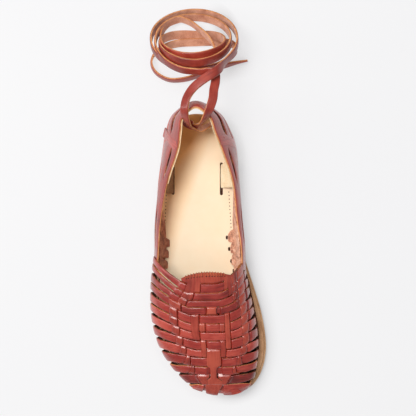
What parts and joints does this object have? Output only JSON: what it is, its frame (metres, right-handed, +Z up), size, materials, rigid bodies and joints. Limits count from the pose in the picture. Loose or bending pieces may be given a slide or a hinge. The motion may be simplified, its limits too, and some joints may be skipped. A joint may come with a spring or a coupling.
{
  "type": "woven huarache shoe",
  "caption": "Flat woven leather huarache shoe for the right foot, open throat and strap quarter, thin layered sole, flat ankle lace coiled behind the heel.",
  "frame": {"origin": "middle of the shoe's footprint at the floor, lace left out", "axes": "+Z up, toe toward -Y, +X the inner (big toe) side"},
  "size_m": [0.1051, 0.3481, 0.0701],
  "materials": {
    "outsole": "matte",
    "midsole": "matte",
    "insole": "smooth",
    "upper_leather": "polished",
    "tab_leather": "matte",
    "lace_leather": "polished"
  },
  "bodies": {
    "root": {"outsole": "outsole", "midsole": "midsole", "insole": "insole", "upper": "upper_leather", "quarter_tab_medial": "tab_leather", "quarter_tab_lateral": "tab_leather", "lace_tail_a": "lace_leather", "lace_tail_b": "lace_leather", "lace_coil": "lace_leather"}
  },
  "joints": []
}
